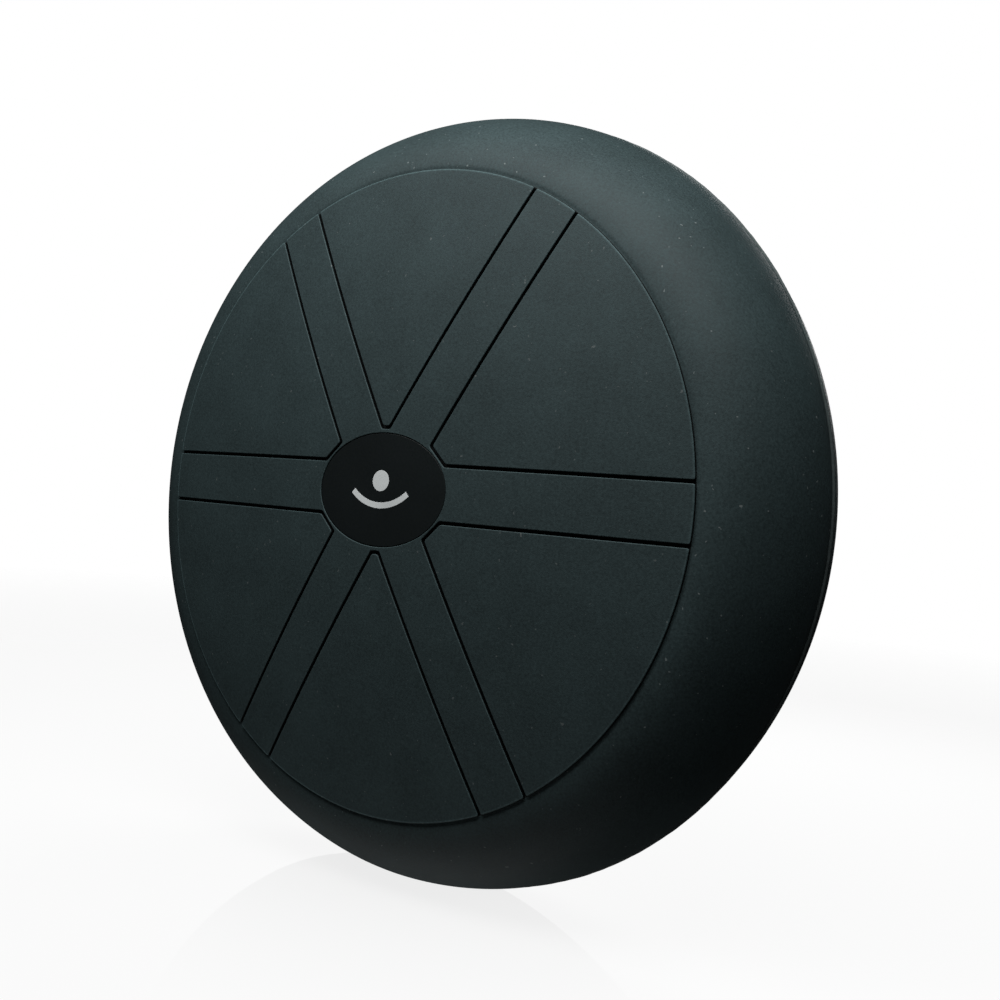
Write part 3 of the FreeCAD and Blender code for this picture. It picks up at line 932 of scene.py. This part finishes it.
def ramp(tree, source, low, high, from_low=0.0, from_high=1.0):
    """The source mapped evenly from one range to another, and held at its ends."""
    n = tree.nodes.new("ShaderNodeMapRange")
    n.inputs["From Min"].default_value = from_low
    n.inputs["From Max"].default_value = from_high
    n.inputs["To Min"].default_value = low
    n.inputs["To Max"].default_value = high
    tree.links.new(source, n.inputs["Value"])
    return n.outputs["Result"]


def mix_color(tree, factor, a, b, blend="MIX"):
    n = tree.nodes.new("ShaderNodeMix")
    n.data_type = "RGBA"
    n.blend_type = blend
    for socket, value in ((n.inputs["Factor"], factor), (n.inputs[6], a), (n.inputs[7], b)):
        feed(tree, socket, value)
    return n.outputs[2]


def scaled(color, factor):
    return tuple(c * factor for c in color)


def vinyl(name, color, roughness, grain, mottle=0.42, specular=0.2, dust=True):
    """Matte moulded vinyl: fine mottled grain, soft uneven tone, a few pale specks of dust."""
    m, tree, b = new_material(name, color, roughness, specular)
    where = object_place(tree)
    cloudy = noise(tree, CLOUD_SCALE, 4, 0.6, where)
    fine = noise(tree, GRAIN_SCALE, 3, 0.7, where)
    finest = noise(tree, FINE_GRAIN_SCALE, 2, 0.5, where)
    cloud_share = ramp(tree, cloudy, 0, 1, 0.35, 0.65)
    clouds = mix_color(tree, cloud_share, scaled(color, 1 - CLOUD_DEPTH), scaled(color, 1 + CLOUD_DEPTH))
    grain_share = ramp(tree, fine, 0, 1, 0.3, 0.7)
    grains = mix_color(tree, grain_share, scaled(color, 1 - mottle), scaled(color, 1 + mottle))
    tone = mix_color(tree, 0.5, clouds, grains)
    if dust:
        specks = noise(tree, SPECK_SCALE, 1, 0.4, where)
        tone = mix_color(tree, ramp(tree, specks, 0, DUST_COVER, 0.76, 0.80), tone, DUST)
    tree.links.new(tone, b.inputs["Base Color"])
    bump = tree.nodes.new("ShaderNodeBump")
    bump.inputs["Strength"].default_value = grain
    bump.inputs["Distance"].default_value = GRAIN_HEIGHT
    tree.links.new(calculate(tree, "ADD", fine, finest), bump.inputs["Height"])
    tree.links.new(bump.outputs["Normal"], b.inputs["Normal"])
    gloss = ramp(tree, fine, roughness - 0.05, roughness + 0.07, 0.3, 0.7)
    tree.links.new(gloss, b.inputs["Roughness"])
    return m


def painted_pad_shade_and_highlight(tree, where):
    """A pad's tone by its height over the crown: painted shade on its walls, a faint painted highlight
    on its round edge.
    """
    far = vector_math(tree, "DISTANCE", where, (0, CROWN_BACK, CENTRE_Z)).outputs["Value"]
    tone = tree.nodes.new("ShaderNodeValToRGB")
    stops = tone.color_ramp.elements
    for height, shade in PAD_PAINTED_SHADE_AND_HIGHLIGHT:
        stops.new(height).color = (shade, shade, shade, 1)
    stops.remove(stops[0])
    stops.remove(stops[-1])
    height = ramp(tree, far, 0, 1, CROWN_R + SHADE_LOW, CROWN_R + SHADE_HIGH)
    tree.links.new(height, tone.inputs["Fac"])
    return tone.outputs["Color"]


def painted_edge_highlight(tree, where):
    """How much paler the face is painted: only along its outer edge, and most toward -X, as a painted
    highlight.
    """
    flat = vector_math(tree, "MULTIPLY_ADD", where, (1, 0, 1), (0, 0, -CENTRE_Z))
    radius = vector_math(tree, "LENGTH", flat.outputs["Vector"]).outputs["Value"]
    across = vector_math(tree, "DOT_PRODUCT", where, (1, 0, 0)).outputs["Value"]
    at_edge = ramp(tree, radius, 0, 1, REACH - EDGE_HIGHLIGHT_START, REACH - EDGE_HIGHLIGHT_END)
    return calculate(tree, "MULTIPLY_ADD", at_edge, ramp(tree, across, *EDGE_PAINTED_HIGHLIGHT, -REACH, REACH), 1.0)


def paint_pad_shade_and_highlight(material):
    """Paint shade and highlight onto the front pads, on top of their own tone: painted shade on the
    groove walls, painted highlights on the round edges and along the face's outer edge.
    """
    tree = material.node_tree
    color = tree.nodes["Principled BSDF"].inputs["Base Color"]
    where = object_place(tree)
    shaded = mix_color(tree, 1.0, color.links[0].from_socket, painted_pad_shade_and_highlight(tree, where), "MULTIPLY")
    # the face's outer edge gets a painted highlight, paler toward -X
    highlighted = vector_math(tree, "SCALE", shaded)
    feed(tree, highlighted.inputs["Scale"], painted_edge_highlight(tree, where))
    tree.links.new(highlighted.outputs["Vector"], color)


RUBBER = {"grain": 0.15, "mottle": 0.2, "specular": 0.4, "dust": False}
skin_look = vinyl("vinyl_skin", (0.0325, 0.0520, 0.0545), roughness=0.60, grain=0.24, mottle=0.62)
panel_look = vinyl("vinyl_panels", (0.0500, 0.0800, 0.0840), roughness=0.62, grain=0.34, mottle=0.55)
# the front pads get painted shade on their groove walls and painted highlights on their edges
paint_pad_shade_and_highlight(panel_look)
# near black: painted shade for the deep grooves, laid on the front face's skin, which shows only down
# the grooves
groove_painted_shade_look = vinyl("vinyl_groove_painted_shade", (0.0050, 0.0075, 0.0080), roughness=0.70, grain=0.20)
stud_look = vinyl("vinyl_studs", (0.0270, 0.0430, 0.0450), roughness=0.50, grain=0.15)
weld_look = vinyl("weld_bead", (0.075, 0.095, 0.095), roughness=0.40, grain=0.30)
badge_look = vinyl("badge_gloss", (0.0085, 0.0115, 0.0120), 0.42, grain=0.05, mottle=0.10, dust=False)
print_look = vinyl("badge_print", (0.76, 0.80, 0.80), 0.55, 0.10, mottle=0.03, specular=0.3, dust=False)
valve_look = vinyl("valve_rubber", (0.024, 0.028, 0.028), roughness=0.45, **RUBBER)
plug_look = vinyl("plug_rubber", (0.040, 0.048, 0.048), roughness=0.42, **RUBBER)


def paint(obj, material):
    obj.data.materials.clear()
    obj.data.materials.append(material)


for piece in skin:
    # the front face's skin takes the near-black painted shade of the grooves
    paint(piece, groove_painted_shade_look if piece.name == "skin_front_face" else skin_look)
for piece in pads:
    paint(piece, panel_look)
for piece in studs:
    paint(piece, stud_look)
for piece in ink:
    paint(piece, print_look)
paint(badge, badge_look)
paint(weld, weld_look)
for piece in (plug, tab):
    paint(piece, plug_look)
for node in ("valve_body", "valve_flap"):
    paint(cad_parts[node], valve_look)

# ---------------------------------------------------------------- floor and world
FLOOR_R = 4.0
PAPER = (0.90, 0.91, 0.91)
OWN_LIGHT = 0.9  # share of the floor's white that is its own light
MIRROR_IOR = 1.16
MIRROR_FADE = (0.03, 0.16)  # distances from the foot between which the mirror image fades away
FLOOR_FADE = (0.45, 1.6)  # and those between which the floor fades into the background
SKY_STRENGTH = 0.03


def shader(tree, kind, **settings):
    n = tree.nodes.new("ShaderNode" + kind)
    for name, value in settings.items():
        feed(tree, n.inputs[name], value)
    return n.outputs[0]


def mix_shader(tree, factor, first, second):
    n = tree.nodes.new("ShaderNodeMixShader")
    for socket, value in zip(n.inputs, (factor, first, second)):
        feed(tree, socket, value)
    return n.outputs["Shader"]


def floor_paper():
    """Mostly self-lit white with a mirror image close to the foot; it fades out further away."""
    m = bpy.data.materials.new("floor_paper")
    m.use_nodes = True
    tree = m.node_tree
    tree.nodes.remove(tree.nodes["Principled BSDF"])
    away = vector_math(tree, "LENGTH", object_place(tree)).outputs["Value"]
    paper = shader(tree, "BsdfDiffuse", Color=PAPER)
    white = mix_shader(tree, OWN_LIGHT, paper, shader(tree, "Emission", Strength=1.0))
    mirror = shader(tree, "BsdfGlossy", Color=(1, 1, 1), Roughness=0.0)
    near_foot = ramp(tree, away, 1, 0, *MIRROR_FADE)
    shine = calculate(tree, "MULTIPLY", shader(tree, "Fresnel", IOR=MIRROR_IOR), near_foot)
    shiny = mix_shader(tree, shine, white, mirror)
    fade = ramp(tree, away, 0, 1, *FLOOR_FADE)
    whole = mix_shader(tree, fade, shiny, shader(tree, "BsdfTransparent"))
    tree.links.new(whole, tree.nodes["Material Output"].inputs["Surface"])
    return m


def studio_world():
    """White where it is seen straight or in a sharp mirror, and a dim sky where it gives light."""
    world = bpy.data.worlds.new("studio")
    world.use_nodes = True
    tree = world.node_tree
    seen = tree.nodes["Background"]
    seen.inputs["Color"].default_value = (1, 1, 1, 1)
    seen.inputs["Strength"].default_value = 1.0
    dim = shader(tree, "Background", Strength=SKY_STRENGTH)
    ray = tree.nodes.new("ShaderNodeLightPath").outputs
    sharp = calculate(tree, "MAXIMUM", ray["Is Camera Ray"], ray["Is Singular Ray"])
    sky = mix_shader(tree, sharp, dim, seen.outputs["Background"])
    tree.links.new(sky, tree.nodes["World Output"].inputs["Surface"])
    return world


bpy.ops.mesh.primitive_circle_add(vertices=96, radius=FLOOR_R, fill_type="NGON", location=(0, 0, 0))
floor = bpy.context.object
floor.name = "floor"
paint(floor, floor_paper())
floor.visible_diffuse = False
floor.visible_glossy = False
floor.visible_shadow = False
bpy.context.scene.world = studio_world()

# ---------------------------------------------------------------- light and camera
LENS = 38.6
EYE = Vector((0.2785, -0.3813, 0.1554))
AHEAD = Vector((-0.5571, 0.8302, 0.0181))  # the way the camera looks
UPRIGHT = Vector((-0.0638, -0.0645, 0.9959))  # upward in its picture
CLIP_START = 0.01


def area_light(name, place, target, width, height, watts):
    """A white rectangle of light that faces the target."""
    data = bpy.data.lights.new(name, "AREA")
    data.shape = "RECTANGLE"
    data.size = width
    data.size_y = height
    data.energy = watts
    light = bpy.data.objects.new(name, data)
    bpy.context.scene.collection.objects.link(light)
    light.location = place
    light.rotation_euler = (Vector(target) - Vector(place)).to_track_quat("-Z", "Y").to_euler()
    light.visible_camera = False


def aim_camera():
    data = bpy.data.cameras.new("camera")
    data.lens = LENS
    data.clip_start = CLIP_START
    camera = bpy.data.objects.new("camera", data)
    bpy.context.scene.collection.objects.link(camera)
    bpy.context.scene.camera = camera
    back = -AHEAD.normalized()
    right = UPRIGHT.cross(back).normalized()
    turned_to = Matrix((right, back.cross(right), back)).transposed()
    camera.matrix_world = Matrix.Translation(EYE) @ turned_to.to_4x4()


area_light("front_box", (0.05, -0.225, 0.51), (0, -0.05, 0.22), width=0.56, height=0.24, watts=2.2)
area_light("floor_glow", (-0.10, -0.08, -0.30), (0, 0, 0.05), width=0.45, height=0.45, watts=0.35)
area_light("back_box", (-0.09, 0.50, 0.44), (0, 0.05, 0.18), width=0.60, height=0.28, watts=3.2)
aim_camera()
